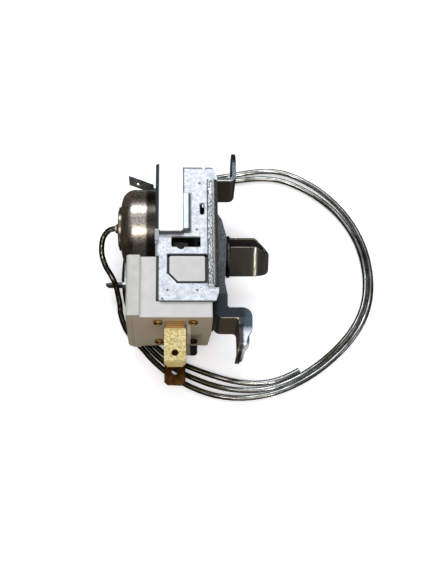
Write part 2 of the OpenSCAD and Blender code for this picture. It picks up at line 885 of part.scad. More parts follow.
// Bowed spring over the slot in the contact blade, which makes it snap
module toggle_spring() {
    color([0.72, 0.72, 0.68]) translate([-12, blade_level + 0.3, 0]) across(4.2)
        difference() {
            circle(1.8);
            circle(1.55);
            translate([-3, -3]) square([6, 3]);
        }
}

// Pin with coned ends, because the pieces that it touches tilt
module push_pin() {
    top = lever_level - 0.64;
    length = top - (blade_level + 0.3) - 0.02;
    tip = 0.4;
    color([0.90, 0.88, 0.80]) downwards(push_x, top) {
        cylinder(r1 = 0.3, r2 = 1.1, h = tip);
        translate([0, 0, tip]) cylinder(r = 1.1, h = length - 2 * tip);
        translate([0, 0, length - tip]) cylinder(r1 = 1.1, r2 = 0.3, h = tip);
    }
}

main_frame();
front_plate();
shaft_hub();
control_shaft();
shaft_ring();
cam();
cam_rivet();
power_cup();
cup_cap();
ferrule();
diaphragm();
capillary_tube();
capillary_clip();
ground_tab();
pressure_pad();
main_lever();
lever_pin();
cam_follower();
follower_pin();
range_screw();
range_nut();
range_spring();
spring_cover();
cover_clip();
switch_base();
switch_cover();
terminal_near();
terminal_far();
terminal_eyelets();
contact_blade();
moving_contact();
fixed_contact();
toggle_spring();
push_pin();
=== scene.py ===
import json
import logging
import math
from collections.abc import Callable
from dataclasses import dataclass, field
from enum import Enum

import bpy
from mathutils import Matrix, Vector


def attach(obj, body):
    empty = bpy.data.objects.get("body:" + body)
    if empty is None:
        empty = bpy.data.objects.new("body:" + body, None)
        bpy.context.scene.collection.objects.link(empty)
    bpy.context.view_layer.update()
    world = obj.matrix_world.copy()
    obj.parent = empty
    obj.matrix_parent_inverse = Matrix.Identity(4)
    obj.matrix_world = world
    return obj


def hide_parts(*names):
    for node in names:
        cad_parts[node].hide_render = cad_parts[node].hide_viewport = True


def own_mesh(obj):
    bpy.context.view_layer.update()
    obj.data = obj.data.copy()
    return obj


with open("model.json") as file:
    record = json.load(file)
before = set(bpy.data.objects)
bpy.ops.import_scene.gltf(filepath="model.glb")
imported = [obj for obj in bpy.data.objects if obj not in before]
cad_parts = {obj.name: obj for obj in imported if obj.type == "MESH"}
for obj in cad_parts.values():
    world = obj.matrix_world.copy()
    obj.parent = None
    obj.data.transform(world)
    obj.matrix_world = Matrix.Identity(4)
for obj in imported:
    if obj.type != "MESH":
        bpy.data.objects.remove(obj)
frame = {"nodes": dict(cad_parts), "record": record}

LOG = logging.getLogger("thermostat")
MM = 0.001
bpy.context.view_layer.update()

Point = tuple[float, float, float]
Piece = bpy.types.Object
Pieces = list[Piece]
Tree = bpy.types.NodeTree
Socket = bpy.types.NodeSocket


# Small helpers


def linear(hex_colour: str) -> tuple[float, float, float, float]:
    """Turns an sRGB colour into the linear one that shaders and lights take.

    Args:
        hex_colour: Six hex digits, with or without a leading hash sign.

    Returns:
        Red, green, blue and an alpha of 1.
    """
    digits = hex_colour.lstrip("#")
    channels = [int(digits[i : i + 2], 16) / 255 for i in (0, 2, 4)]
    low, high = [c / 12.92 for c in channels], [((c + 0.055) / 1.055) ** 2.4 for c in channels]
    return (*(a if c <= 0.04045 else b for c, a, b in zip(channels, low, high)), 1.0)


def add_node(tree: Tree, kind: str, inputs: dict | None = None, **settings) -> bpy.types.Node:
    """Adds a shader node with its settings, its values and its links.

    Args:
        tree: The node tree that gets the node.
        kind: The node's type name without its ShaderNode beginning.
        inputs: For each input's name or number, a value, the socket that feeds it, or the node
            whose first output does.
        settings: Properties of the node. A ramp takes stops, a list of positions and colours.

    Returns:
        The new node.
    """
    made = tree.nodes.new("ShaderNode" + kind)
    stops = settings.pop("stops", [])
    for name, value in settings.items():
        setattr(made, name, value)
    for i, (position, colour) in enumerate(stops):
        stop = made.color_ramp.elements[i] if i < 2 else made.color_ramp.elements.new(position)
        stop.position, stop.color = position, colour
    for key, value in (inputs or {}).items():
        if isinstance(value, (Socket, bpy.types.Node)):
            source = value if isinstance(value, Socket) else value.outputs[0]
            tree.links.new(source, made.inputs[key])
        else:
            made.inputs[key].default_value = value
    return made


def only(obj: Piece) -> None:
    """Selects just the given object and makes it active."""
    bpy.ops.object.select_all(action="DESELECT")
    obj.select_set(True)
    bpy.context.view_layer.objects.active = obj


def apply_modifiers(obj: Piece) -> None:
    """Applies every modifier of an object in order."""
    only(obj)
    for name in [m.name for m in obj.modifiers]:
        bpy.ops.object.modifier_apply(modifier=name)


# Finishes


class Grain(Enum):
    """How the fine grain of a surface runs, as a stretch of its pattern along X, Y and Z."""

    EVEN = (1.0, 1.0, 1.0)
    SHORT_Y = (1.0, 0.22, 1.0)
    ROUND_X = (1.0, 0.05, 0.05)


# Further out than any piece reaches, in mm, and the corners out there
FAR = 500.0
LEAST = (-FAR, -FAR, -FAR)
MOST = (FAR, FAR, FAR)
# Size in metres of the teeth of a ragged edge
RAGGED = 1.0 / 900.0
# Corners closer than this are one, and a corner this close to a line is on it, in metres
WELD = 2e-6
NEAR = 1e-6
# Faces within this many degrees are one plane
FLAT_DEG = 0.6
# Bends sharper than this, in degrees, count as edges
SHARP_DEG = 34.0


@dataclass(frozen=True)
class Zone:
    """A box-shaped place on a piece where its colour changes.

    Some zones are dirt, tarnish or a cut edge. Others stand for a dark joint, a shaded side or a
    reflection that the photo shows there, and are not a property of the real surface.

    Attributes:
        colour: Colour inside the zone.
        low: Lowest corner in mm.
        high: Highest corner in mm.
        strength: How much of the colour shows.
        soft_mm: How far it fades out beyond the box.
        ragged_mm: How far its edge wanders.
    """

    colour: str
    low: Point
    high: Point
    strength: float = 0.9
    soft_mm: float = 0.15
    ragged_mm: float = 0.0

    def share(self, tree: Tree, place: Socket) -> Socket:
        """Gives how much of the zone's colour shows at each place.

        Args:
            tree: The material's nodes.
            place: Object coordinates.

        Returns:
            A share from 0 to 1.
        """
        wander = self.ragged_mm * MM
        if self.ragged_mm:
            noise = add_node(tree, "TexNoise", {"Vector": place, "Scale": 1 / RAGGED, "Detail": 3.0})
            place = add_node(
                tree,
                "VectorMath",
                {0: noise.outputs["Color"], 1: (2 * wander,) * 3, 2: place},
                operation="MULTIPLY_ADD",
            ).outputs[0]
        low, high = (tuple(c * MM + wander for c in corner) for corner in (self.low, self.high))
        below = add_node(tree, "VectorMath", {0: low, 1: place}, operation="SUBTRACT")
        above = add_node(tree, "VectorMath", {0: place, 1: high}, operation="SUBTRACT")
        out = add_node(tree, "VectorMath", {0: below, 1: above}, operation="MAXIMUM")
        parts = add_node(tree, "SeparateXYZ", {0: out}).outputs
        most = add_node(tree, "Math", {0: parts[0], 1: parts[1]}, operation="MAXIMUM").outputs[0]
        most = add_node(tree, "Math", {0: most, 1: parts[2]}, operation="MAXIMUM").outputs[0]
        return add_node(
            tree, "MapRange", {"Value": most, 1: 0.0, 2: self.soft_mm * MM, 3: self.strength, 4: 0.0}
        ).outputs[0]


@dataclass(frozen=True)
class Finish:
    """A surface with patches of two tones, a fine grain in its gloss, and a matching relief.

    Attributes:
        name: The material's plain name.
        tone: Main colour.
        shade: Colour of the darker patches.
        metallic: 1 for bare metal, 0 for plastic.
        roughness: Least and greatest roughness.
        patch_mm: Size of the patches of tone.
        grain_mm: Size of the grain.
        relief_mm: Height of the grain's relief.
        grain: Direction of the grain.
        streaked: Whether the patches run out along the grain.
        spread: Levels of the noise between which one tone turns into the other.
        zones: Places with another colour.
    """

    name: str
    tone: str
    shade: str
    metallic: float = 1.0
    roughness: tuple[float, float] = (0.3, 0.45)
    patch_mm: float = 3.0
    grain_mm: float = 0.4
    relief_mm: float = 0.01
    grain: Grain = Grain.EVEN
    streaked: bool = False
    spread: tuple[float, float] = (0.38, 0.68)
    zones: tuple[Zone, ...] = ()

    def material(self) -> bpy.types.Material:
        """Builds the material once and returns it again when asked again."""
        known = bpy.data.materials.get(self.name)
        if known:
            return known
        made = bpy.data.materials.new(self.name)
        made.use_nodes = True
        tree = made.node_tree
        tree.nodes.clear()
        place = add_node(tree, "TexCoord").outputs["Object"]
        shader = add_node(tree, "BsdfPrincipled", {"Metallic": self.metallic})
        height = self.grain_height(tree, place)
        colour = self.colour(tree, place)
        for zone in self.zones:
            colour = add_node(
                tree,
                "Mix",
                {0: zone.share(tree, place), 6: colour, 7: linear(zone.colour)},
                data_type="RGBA",
            ).outputs[2]
        tree.links.new(colour, shader.inputs["Base Color"])
        tree.links.new(self.gloss(tree, height), shader.inputs["Roughness"])
        bump = add_node(
            tree, "Bump", {"Height": height, "Strength": 1.0, "Distance": self.relief_mm * MM}
        )
        tree.links.new(bump.outputs["Normal"], shader.inputs["Normal"])
        end = add_node(tree, "OutputMaterial")
        tree.links.new(shader.outputs["BSDF"], end.inputs["Surface"])
        return made

    def grain_height(self, tree: Tree, place: Socket) -> Socket:
        """Draws the grain as noise stretched along its direction.

        Args:
            tree: The material's nodes.
            place: Object coordinates.

        Returns:
            A value from 0 to 1.
        """
        turned = add_node(tree, "Mapping", {"Vector": place, "Scale": self.grain.value})
        noise = add_node(
            tree, "TexNoise", {"Vector": turned, "Scale": 1 / (self.grain_mm * MM), "Detail": 4.0}
        )
        return noise.outputs["Fac"]

    def colour(self, tree: Tree, place: Socket) -> Socket:
        """Mixes the two tones in soft patches.

        Args:
            tree: The material's nodes.
            place: Object coordinates.

        Returns:
            The surface's colour.
        """
        if self.streaked:
            place = add_node(tree, "Mapping", {"Vector": place, "Scale": self.grain.value}).outputs[0]
        patches = add_node(
            tree, "TexNoise", {"Vector": place, "Scale": 1 / (self.patch_mm * MM), "Detail": 5.0}
        )
        share = add_node(
            tree, "MapRange", {"Value": patches.outputs["Fac"], 1: self.spread[0], 2: self.spread[1]}
        )
        both = add_node(
            tree, "Mix", {0: share, 6: linear(self.tone), 7: linear(self.shade)}, data_type="RGBA"
        )
        return both.outputs[2]

    def gloss(self, tree: Tree, height: Socket) -> Socket:
        """Makes the roughness follow the grain.

        Args:
            tree: The material's nodes.
            height: The grain.

        Returns:
            The roughness.
        """
        spread = add_node(
            tree,
            "MapRange",
            {"Value": height, 1: 0.3, 2: 0.7, 3: self.roughness[0], 4: self.roughness[1]},
        )
        return spread.outputs[0]


@dataclass(frozen=True)
class Banded(Finish):
    """A finish with fine bands across Y within one stretch, painted highlights of a neck's folds.

    Attributes:
        band: Colour of the bands, painted highlights.
        gap: Colour between them.
        stretch: Lowest and highest Y of the bands, in mm.
        pitch_mm: Distance from band to band.
    """

    band: str = "#F0BE7C"
    gap: str = "#A8722F"
    stretch: tuple[float, float] = (-26.6, -24.3)
    pitch_mm: float = 0.62

    def colour(self, tree: Tree, place: Socket) -> Socket:
        """Lays the bands of painted highlight over the patches.

        Args:
            tree: The material's nodes.
            place: Object coordinates.

        Returns:
            The surface's colour.
        """
        soft = Finish.colour(self, tree, place)
        low, high = self.stretch
        neck = Zone(self.gap, low=(-FAR, low, -FAR), high=(FAR, high, FAR), soft_mm=0.05)
        share = neck.share(tree, place)
        parts = add_node(tree, "SeparateXYZ", {0: place})
        turn = add_node(
            tree,
            "Math",
            {0: parts.outputs["Y"], 1: 2 * math.pi / (self.pitch_mm * MM)},
            operation="MULTIPLY",
        )
        wave = add_node(tree, "Math", {0: turn}, operation="SINE")
        rise = add_node(tree, "MapRange", {"Value": wave, 1: -0.6, 2: 0.9})
        bands = add_node(
            tree, "Mix", {0: rise, 6: linear(self.gap), 7: linear(self.band)}, data_type="RGBA"
        )
        both = add_node(tree, "Mix", {0: share, 6: soft, 7: bands.outputs[2]}, data_type="RGBA")
        return both.outputs[2]


# Middle of the capillary's loop in X and Y, in mm
LOOP_CENTRE = (9.8, -0.5)


@dataclass(frozen=True)
class Coiled(Finish):
    """A drawn tube in a loop: dirt in streaks, and darker on one side, by dirt and painted shade.

    Attributes:
        centre: Middle of the loop in mm.
        radius_mm: Rough radius of the loop.
        stretch: How far the pattern is squeezed along the tube, which draws the streaks out.
        streak_mm: Width of a streak.
        dirt_and_shade: Colour of the dirt and of the painted shade.
        shares: Positions round the loop, from 0 at 180 degrees to 1, with the share of dirt and shade
            there.
    """

    centre: tuple[float, float] = LOOP_CENTRE
    radius_mm: float = 40.0
    stretch: float = 0.05
    streak_mm: float = 0.5
    dirt_and_shade: str = "#3B3527"
    shares: tuple[tuple[float, float], ...] = (
        (0.0, 1.0), (0.2, 0.97), (0.225, 0.5), (0.255, 0.2), (0.32, 0.25), (0.37, 0.55),
        (0.5, 0.35), (0.68, 0.2), (0.85, 0.5), (0.93, 0.9),
    )

    def colour(self, tree: Tree, place: Socket) -> Socket:
        """Draws the streaks in polar coordinates round the loop's middle.

        Args:
            tree: The material's nodes.
            place: Object coordinates.

        Returns:
            The surface's colour.
        """
        soft = Finish.colour(self, tree, place)
        moved = add_node(
            tree,
            "VectorMath",
            {0: place, 1: (self.centre[0] * MM, self.centre[1] * MM, 0.0)},
            operation="SUBTRACT",
        )
        parts = add_node(tree, "SeparateXYZ", {0: moved})
        angle = add_node(
            tree, "Math", {0: parts.outputs["Y"], 1: parts.outputs["X"]}, operation="ARCTAN2"
        )
        away = add_node(tree, "VectorMath", {0: moved}, operation="LENGTH")
        along = add_node(
            tree, "Math", {0: angle, 1: self.radius_mm * MM * self.stretch}, operation="MULTIPLY"
        )
        polar = add_node(tree, "CombineXYZ", {0: away.outputs["Value"], 1: along, 2: parts.outputs["Z"]})
        streaks = add_node(
            tree, "TexNoise", {"Vector": polar, "Scale": 1 / (self.streak_mm * MM), "Detail": 4.0}
        )
        where = add_node(tree, "MapRange", {"Value": angle, 1: -math.pi, 2: math.pi})
        most = add_node(
            tree,
            "ValToRGB",
            {0: where},
            stops=[(at, (share, share, share, 1.0)) for at, share in self.shares],
        )
        spread = add_node(
            tree, "MapRange", {"Value": streaks.outputs["Fac"], 1: 0.35, 2: 0.62, 3: -0.35, 4: 0.45}
        )
        share = add_node(tree, "Math", {0: most, 1: spread}, operation="ADD", use_clamp=True)
        both = add_node(tree, "Mix", {0: share, 6: soft, 7: linear(self.dirt_and_shade)}, data_type="RGBA")
        return both.outputs[2]


@dataclass(frozen=True)
class Galvanised(Finish):
    """Zinc-coated sheet: small crystals, dark specks and punched marks.

    Attributes:
        spangle_mm: Size of the crystals.
        speck: Colour of the specks.
        speck_mm: Size of the specks.
        marks: Places of the punched marks in mm.
    """

    spangle_mm: float = 0.9
    speck: str = "#6F757F"
    speck_mm: float = 0.3
    marks: tuple[Point, ...] = ()

    def colour(self, tree: Tree, place: Socket) -> Socket:
        """Lays crystals, specks and marks over the soft patches.

        Args:
            tree: The material's nodes.
            place: Object coordinates.

        Returns:
            The surface's colour.
        """
        soft = Finish.colour(self, tree, place)
        crystals = add_node(tree, "TexVoronoi", {"Vector": place, "Scale": 1 / (self.spangle_mm * MM)})
        grey = add_node(tree, "RGBToBW", {0: crystals.outputs["Color"]})
        light = add_node(tree, "MapRange", {"Value": grey, 1: 0.1, 2: 0.9, 3: 0.9, 4: 1.04})
        sparkle = add_node(
            tree, "Mix", {0: 1.0, 6: soft, 7: light}, data_type="RGBA", blend_type="MULTIPLY"
        )
        shade = add_node(
            tree,
            "Mix",
            {0: self.specks(tree, place), 6: sparkle.outputs[2], 7: linear(self.speck)},
            data_type="RGBA",
        )
        return shade.outputs[2]

    def specks(self, tree: Tree, place: Socket) -> Socket:
        """Gives the share of dark specks, which gather in some places, and of the punched marks.

        Args:
            tree: The material's nodes.
            place: Object coordinates.

        Returns:
            A share from 0 to 1.
        """
        fine = add_node(
            tree, "TexNoise", {"Vector": place, "Scale": 1 / (self.speck_mm * MM), "Detail": 2.0}
        )
        share = add_node(
            tree, "MapRange", {"Value": fine.outputs["Fac"], 1: 0.57, 2: 0.68, 3: 0.0, 4: 0.75}
        ).outputs[0]
        for mark in self.marks:
            away = add_node(
                tree, "VectorMath", {0: place, 1: [c * MM for c in mark]}, operation="DISTANCE"
            )
            dot = add_node(
                tree,
                "MapRange",
                {"Value": away.outputs["Value"], 1: 0.3 * MM, 2: 0.5 * MM, 3: 1.0, 4: 0.0},
            )
            share = add_node(tree, "Math", {0: share, 1: dot}, operation="MAXIMUM").outputs[0]
        return share


# Punched marks on the frame's near wall
MARKS = (
    (-14.9, -16.2, 13.3),
    (-6.3, -16.2, 13.3),
    (-5.4, 18.3, 13.3),
    (-6.3, 3.0, 13.3),
    (-16.3, -18.9, 13.3),
)
# Zinc-coated sheet, punched and folded: pale, slightly blue, with fine dark specks. Its inner side
# and the far lug are painted nearly black as shade. The other zones paint shadow round its windows
# and slots, along its left edge and round the cover and the strip, a dark line along its lower
# edge that is partly cut edge and partly painted shadow, and the dark outline of its cut top edge
ZINC = Galvanised(
    "galvanised_sheet", "#DCE1E5", "#BDC4CB", 0.5, (0.38, 0.6), 2.2, 0.3, 0.012, marks=MARKS,
    zones=(
        Zone("#1B1A19", (-17.65, -FAR, -12.42), (FAR, 22.8, 12.42), 0.93, 0.03),
        Zone("#2E3134", (-FAR, -FAR, 12.3), (FAR, -19.42, FAR), 0.85, 0.06, 0.05),
        Zone("#3C4043", (-15.1, -11.2, 12.3), (-3.1, -4.75, FAR), 0.8, 0.08, 0.04),
        Zone("#3C4043", (-12.3, -14.15, 12.3), (-3.1, -11.2, FAR), 0.8, 0.08, 0.04),
        Zone("#3C4043", (-13.9, -2.75, 12.3), (-5.1, 0.85, FAR), 0.45, 0.08, 0.04),
        Zone("#3C4043", (-5.5, 7.75, 12.3), (-3.9, 11.85, FAR), 0.45, 0.08, 0.04),
        Zone("#4C5359", (-FAR, 23.2, -FAR), MOST, 0.8, 0.1, 0.1),
        Zone("#33363A", (-FAR, 2.0, 12.3), (-17.4, FAR, FAR), 0.8, 0.1, 0.1),
        Zone("#3C4043", (-FAR, 1.35, 12.3), (-10.05, FAR, FAR), 0.75, 0.1, 0.05),
        Zone("#454B4F", (-10.6, 1.85, 12.3), (-7.9, 15.1, FAR), 0.75, 0.1, 0.05),
        Zone("#191817", LEAST, (FAR, -20.4, 0.0), 0.95, 0.3),
    ),
)
# Cold-rolled steel with a thin zinc flash and bright streaks along the flanges over the side
# walls. The zones paint reflections and shade: dark and bright reflections and highlights on the
# plate, the channel and the ears, a shadow line along the strip's left edge, and shade on the side
# faces, behind the channel and on the tongue's back, so the plate looks darker from the front
# than bare steel would
PLATE_STEEL = Finish(
    "rolled_plate_steel", "#B9BDBD", "#303333", 1.0, (0.24, 0.45), 0.16, 0.2, 0.02, Grain.SHORT_Y,
    streaked=True, spread=(0.4, 0.6),
    zones=(
        Zone("#A9A9A6", (-1.3, -FAR, 12.4), MOST, 0.6, 0.3, 0.1),
        Zone("#2A2A29", (-1.75, -FAR, 12.4), (-1.55, FAR, FAR), 0.6, 0.15, 0.1),
        Zone("#232527", (-FAR, -FAR, 12.4), (-3.02, FAR, FAR), 0.85, 0.12),
        Zone("#E4E8EA", (-FAR, -FAR, 12.4), (FAR, -14.95, FAR), 0.7, 0.05),
        Zone("#2E3235", LEAST, (FAR, FAR, 12.6), 0.88, 0.3, 0.2),
        Zone("#50595F", (4.5, 17.0, -FAR), MOST, 0.85, 1.0),
        Zone("#A3A39C", (-FAR, 21.9, -FAR), (6.2, 22.6, FAR), 0.9, 0.1),
        Zone("#C2BAA9", (-0.5, -22.9, -FAR), (5.95, -22.35, FAR), 0.9, 0.05),
        Zone("#9C9587", (4.0, -FAR, -FAR), (5.98, -23.4, FAR), 0.9, 0.1),
        Zone("#2A3033", (-1.3, -22.2, 6.0), (FAR, -15.0, FAR), 0.9, 0.3),
        Zone("#4F5D66", (8.9, -25.5, -FAR), (FAR, -20.8, FAR), 0.75, 1.8),
        Zone("#F4F8FC", (7.9, -33.0, -FAR), (FAR, -27.6, FAR), 0.95, 2.6),
        Zone("#3A3B3C", (5.95, -FAR, -FAR), (FAR, -33.4, FAR), 0.85, 1.6),
        Zone("#1C1E1F", (5.95, -FAR, -FAR), (7.0, -24.6, FAR), 0.85, 0.35),
    ),
)
# The shaft's strip, browned and rolled: dark, with one sharp reflection along its fold
SHAFT_STEEL = Finish(
    "rolled_shaft_steel", "#7C7A73", "#4E4C47", 0.85, (0.14, 0.24), 0.3, 0.3, 0.006, Grain.ROUND_X,
    streaked=True,
)
# The turned hub and its collar: steel, drawn as dark as the photo shows it
HUB_STEEL = Finish("turned_hub_steel", "#4A4641", "#24211E", 1.0, (0.3, 0.45), 1.0, 0.25, 0.006)
# Grey steel of the earth tab
TAB_STEEL = Finish("grey_tab_steel", "#D3E2E2", "#A7B7B8", 1.0, (0.28, 0.42), 2.0, 0.3, 0.006)
# Zinc-flashed clip behind the switch: bright on its tab, drawn dark at the hook's end
CLIP_STEEL = Finish(
    "flashed_clip_steel", "#DCE7E8", "#B6C3C4", 0.8, (0.26, 0.4), 2.0, 0.3, 0.006,
    zones=(Zone("#3A3A37", LEAST, (-29.2, FAR, FAR), 0.92, 0.5, 0.2),),
)
# The levers, pins, screw, nut and spring behind the openings, painted nearly black as the shade they lie
# in
SHADE_DARK_STEEL = Finish("shade_darkened_steel", "#242423", "#131211", 0.8, (0.4, 0.55), 2.0, 0.4, 0.004)
# Spun cup, nickel plated and brown with age: fine marks break up the highlights. The zones paint
# a dark reflection on its lower side, shade on its back edge and deep shade on its rim by the frame
NICKEL = Finish(
    "spun_nickel", "#CFC8BB", "#9C9280", 1.0, (0.2, 0.34), 0.7, 0.3, 0.016,
    zones=(
        Zone("#4B453A", LEAST, (FAR, 0.4, FAR), 0.75, 1.6, 0.3),
        Zone("#56503F", LEAST, (-28.2, FAR, FAR), 0.6, 1.0, 0.2),
        Zone("#1F1B17", (-20.9, -FAR, -FAR), MOST, 0.92, 0.9, 0.15),
    ),
)
# Drawn tube with a tinned surface: silver, with olive-brown streaks of dirt along it. Round
# the loop the darkening is partly dirt and partly painted shade, darkest on the loop's left side
TUBE_METAL = Coiled("tinned_tube", "#C9CDCB", "#93948B", 1.0, (0.12, 0.26), 4.0, 0.5, 0.004)
# The ferrule, soldered over the tube: dull grey
SOLDER = Finish("soft_solder", "#A8A7A1", "#77756C", 1.0, (0.3, 0.45), 1.0, 0.3, 0.01)
# Moulded thermoset housing: warm pale grey and dull. The zones paint shade: its lower face shaded
# and browner, a shadow beside the rib and deep shade in the gap round the pads
HOUSING = Finish(
    "moulded_thermoset", "#C9C7C6", "#C1BFBC", 0.0, (0.45, 0.6), 4.0, 0.25, 0.008,
    zones=(
        Zone("#A39A86", LEAST, (FAR, -24.2, FAR), 0.95, 0.08),
        Zone("#3C3529", (-7.9, -FAR, -9.6), (-6.6, -24.1, -4.0), 0.7, 2.6, 0.3),
        Zone("#1E1C1A", (-18.2, -19.4, 11.0), (FAR, -3.0, 13.0), 0.97, 0.04),
    ),
)
# Moulded rear cover: the same dullness, a little greener, with the same shaded lower face
REAR_COVER = Finish(
    "moulded_rear_cover", "#C1C2BB", "#B5B7AE", 0.0, (0.45, 0.6), 3.0, 0.25, 0.008,
    zones=(Zone("#A0978A", LEAST, (FAR, -24.2, FAR), 0.95, 0.08),),
)
# Glossy white moulding over the spring, its lower side painted dark as the shade under it and its
# left side painted grey as shade
WHITE_COVER = Finish(
    "white_moulding", "#FDFDFD", "#F6F7F8", 0.0, (0.28, 0.36), 6.0, 0.4, 0.004,
    zones=(
        Zone("#2A2C2C", (-FAR, -FAR, 13.2), (FAR, 2.3, 14.7), 0.95, 0.15),
        Zone("#A9AFB3", (-FAR, -FAR, 13.2), (-17.35, 23.4, FAR), 0.7, 0.1),
    ),
)
# Painted strip beside the cover, faintly blue. Its edges are painted as a shadow line: dark along
# its right and lower edges, grey along its left one and darker along its top
PALE_STRIP = Finish(
    "painted_strip", "#DFE9ED", "#CCD9DF", 0.1, (0.3, 0.42), 4.0, 0.3, 0.004,
    zones=(
        Zone("#2B3030", (-8.75, -FAR, -FAR), MOST, 0.92, 0.12, 0.05),
        Zone("#2B3030", LEAST, (FAR, 2.85, FAR), 0.9, 0.12, 0.05),
        Zone("#8F9698", LEAST, (-10.2, FAR, FAR), 0.8, 0.1, 0.05),
        Zone("#59605F", (-FAR, 14.5, -FAR), MOST, 0.7, 0.1, 0.05),
    ),
)
# Stamped brass blade: pale gold with fine tarnish, browner at its tip, and an orange-brown
# neck with fine folds, whose highlights are painted as bright bands
BRASS = Banded(
    "stamped_brass", "#DDD09A", "#A38948", 1.0, (0.28, 0.42), 0.5, 0.22, 0.008,
    zones=(Zone("#8F7443", LEAST, (FAR, -36.6, FAR), 0.6, 0.8, 0.4),),
)
# The far blade, the same brass painted browner as shade, and nearly black at its root as deeper shade
SHADED_BRASS = Finish(
    "shade_darkened_brass", "#7C5227", "#4C2E13", 1.0, (0.34, 0.5), 1.6, 0.25, 0.006,
    zones=(Zone("#2E1D0E", (-FAR, -33.5, -FAR), MOST, 0.7, 2.5, 0.5),),
)
# Rolled brass eyelets, darker than the blade. The zone paints the deepest one nearly black as shade
EYELET_BRASS = Finish(
    "tarnished_brass", "#D9AF66", "#7E5424", 1.0, (0.2, 0.36), 0.6, 0.2, 0.004,
    zones=(Zone("#2E2416", (-8.8, -FAR, -9.1), (-5.6, FAR, -5.9), 0.92, 0.2),),
)
# Plain bright spring steel of the inner pieces
SPRING_STEEL = Finish("bright_spring_steel", "#A5A6A4", "#7C7B78", 1.0, (0.22, 0.34), 3.0, 0.3, 0.003)
# Sintered cam: dull grey with fine pores
SINTERED = Finish("sintered_steel", "#77726A", "#58534C", 1.0, (0.45, 0.6), 1.5, 0.2, 0.012)
# Phosphor bronze of the diaphragm and contact blade
BRONZE = Finish("phosphor_bronze", "#C79A66", "#9A6F42", 1.0, (0.22, 0.34), 3.0, 0.3, 0.003)
# Silver contact rivets
SILVER = Finish("contact_silver", "#E4E3DF", "#B9B7B0", 1.0, (0.18, 0.28), 1.0, 0.2, 0.002)
# Cream moulding of the push pin and the pad
CREAM = Finish("cream_moulding", "#EDE8D8", "#DDD6C2", 0.0, (0.4, 0.5), 3.0, 0.3, 0.004)


def dress(node: str, finish: Finish) -> Piece:
    """Gives a CAD node's own object a finish in place of its plain one.

    Args:
        node: The node's name.
        finish: What its surface is.

    Returns:
        The node's object.
    """
    obj = frame["nodes"][node]
    obj.data.materials.clear()
    obj.data.materials.append(finish.material())
    return obj


def body_of(node: str) -> str:
    """Names the body that carries a node."""
    return next(b for b, nodes in frame["record"]["behaviour"]["bodies"].items() if node in nodes)


def clear_picks(piece: Piece, kind: str) -> None:
    """Deselects all of a piece's mesh in a select mode and leaves edit mode."""
    only(piece)
    bpy.ops.object.mode_set(mode="EDIT")
    bpy.ops.mesh.select_mode(type=kind)
    bpy.ops.mesh.select_all(action="DESELECT")
    bpy.ops.object.mode_set(mode="OBJECT")


def pick_faces(piece: Piece, test: Callable[[Vector, Vector], bool]) -> None:
    """Goes into edit mode with just some faces selected.

    Args:
        piece: The object.
        test: Tells from a face's middle and normal whether it is wanted.
    """
    clear_picks(piece, "FACE")
    for face in piece.data.polygons:
        face.select = test(face.center, face.normal)
    bpy.ops.object.mode_set(mode="EDIT")


def pick_edges(piece: Piece, test: Callable[[Vector, Vector], bool]) -> None:
    """Goes into edit mode with just some edges selected.

    Args:
        piece: The object.
        test: Tells from an edge's two ends whether it is wanted.
    """
    clear_picks(piece, "EDGE")
    ends = piece.data.vertices
    for edge in piece.data.edges:
        edge.select = test(*(ends[i].co for i in edge.vertices))
    bpy.ops.object.mode_set(mode="EDIT")


def add_edges(piece: Piece, width_mm: float, sharp_deg: float) -> None:
    """Puts a narrow bevel on every sharp edge, as a live modifier."""
    bevel = piece.modifiers.new("edges", "BEVEL")
    bevel.width, bevel.segments = width_mm * MM, 2
    bevel.limit_method, bevel.angle_limit = "ANGLE", math.radians(sharp_deg)


def flatten(piece: Piece) -> None:
    """Turns the normals of broken edges to their flat faces, so that those shade evenly."""
    flat = piece.modifiers.new("flat_faces", "WEIGHTED_NORMAL")
    flat.keep_sharp, flat.weight = True, 100
    apply_modifiers(piece)


@dataclass(frozen=True)
class Rounding:
    """Edges of a piece that get a round of their own.

    Attributes:
        holds: Tells from a corner's place in mm whether the edge may run through it.
        width_mm: How much of each side the round takes.
        segments: Number of facets across it.
    """

    holds: Callable[[Vector], bool]
    width_mm: float
    segments: int = 3


def softened(
    node: str,
    finish: Finish,
    edge_mm: float,
    rounds: tuple[Rounding, ...] = (),
) -> Piece:
    """Stands a copy of a node in for it, with broken edges and smooth bends.

    Args:
        node: The node's name.
        finish: What its surface is.
        edge_mm: Width of the broken edges.
        rounds: Edges that are rounded more than the rest.

    Returns:
        The new piece.
    """
    source = frame["nodes"][node]
    piece = bpy.data.objects.new(node + "_soft", source.data.copy())
    bpy.context.scene.collection.objects.link(piece)
    piece.data.transform(source.matrix_world)
    only(piece)
    bpy.ops.object.mode_set(mode="EDIT")
    bpy.ops.mesh.select_all(action="SELECT")
    bpy.ops.mesh.remove_doubles(threshold=WELD)
    bpy.ops.mesh.dissolve_limited(angle_limit=math.radians(FLAT_DEG))
    bpy.ops.object.mode_set(mode="OBJECT")
    for turn in rounds:
        pick_edges(piece, lambda a, b: turn.holds(a / MM) and turn.holds(b / MM))
        bpy.ops.mesh.bevel(
            offset=turn.width_mm * MM, segments=turn.segments, affect="EDGES", clamp_overlap=True
        )
        bpy.ops.object.mode_set(mode="OBJECT")
    if edge_mm > 0:
        add_edges(piece, edge_mm, SHARP_DEG)
        apply_modifiers(piece)
    bpy.ops.object.shade_smooth_by_angle(angle=math.radians(SHARP_DEG))
    if edge_mm > 0:
        flatten(piece)
    piece.data.materials.clear()
    piece.data.materials.append(finish.material())
    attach(piece, body_of(node))
    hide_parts(node)
    return piece


# Capillary


